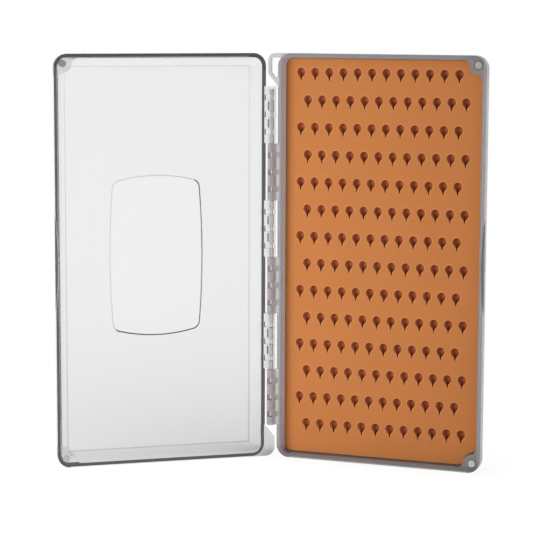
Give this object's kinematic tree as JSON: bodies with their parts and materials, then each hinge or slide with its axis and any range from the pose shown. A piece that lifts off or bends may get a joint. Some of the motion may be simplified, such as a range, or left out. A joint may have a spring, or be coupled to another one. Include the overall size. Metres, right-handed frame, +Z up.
{
  "type": "fly box",
  "caption": "Slim pocket fly box standing open: smoke-tinted base with a slit silicone mat, clear lid on a long pinned hinge, corner magnets and a lanyard loop.",
  "frame": {"origin": "middle of the flat lower end of the base half, which the open box stands on", "axes": "+Z up along the hinge, +X from the hinge to the base's free edge, +Y out of the base's back; the mat faces -Y"},
  "size_m": [0.1752, 0.0656, 0.1784],
  "materials": {
    "smoke_plastic": "gloss",
    "clear_plastic": "gloss",
    "silicone": "satin",
    "pin_steel": "satin",
    "nickel": "polished"
  },
  "bodies": {
    "base": {"base_shell": "smoke_plastic", "silicone_mat": "silicone", "hinge_pin": "pin_steel", "base_magnet_top": "nickel", "base_magnet_bottom": "nickel"},
    "lid": {"lid_shell": "clear_plastic", "lid_magnet_top": "nickel", "lid_magnet_bottom": "nickel"}
  },
  "joints": [
    {"name": "lid_hinge", "type": "hinge", "parent": "base", "child": "lid", "pos_m": [-0.0491, -0.002, 0.0892], "axis": [0, 0, 1], "range_deg": [-36, 144]}
  ]
}
